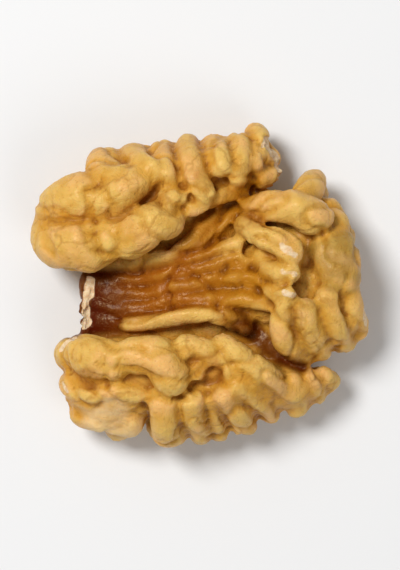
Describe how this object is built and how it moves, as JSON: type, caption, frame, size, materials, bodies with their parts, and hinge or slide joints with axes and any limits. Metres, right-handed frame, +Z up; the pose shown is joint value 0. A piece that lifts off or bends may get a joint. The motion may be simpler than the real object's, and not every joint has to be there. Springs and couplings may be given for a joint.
{
  "type": "walnut kernel half",
  "caption": "Shelled half of a walnut kernel: folded lobes round a Y-shaped valley, in a thin golden skin.",
  "frame": {"origin": "on the surface that the kernel rests on, under the middle of its box", "axes": "+X along the valley to the kernel's pointed end, +Y across the lobes, +Z up from its flatter inner side to the folded outer side"},
  "size_m": [0.03, 0.0289, 0.0118],
  "materials": {
    "skin": "thin golden brown skin with a faint oily gloss, darker in the creases and red-brown in the valley"
  },
  "bodies": {
    "root": {"kernel": "skin"}
  },
  "joints": []
}
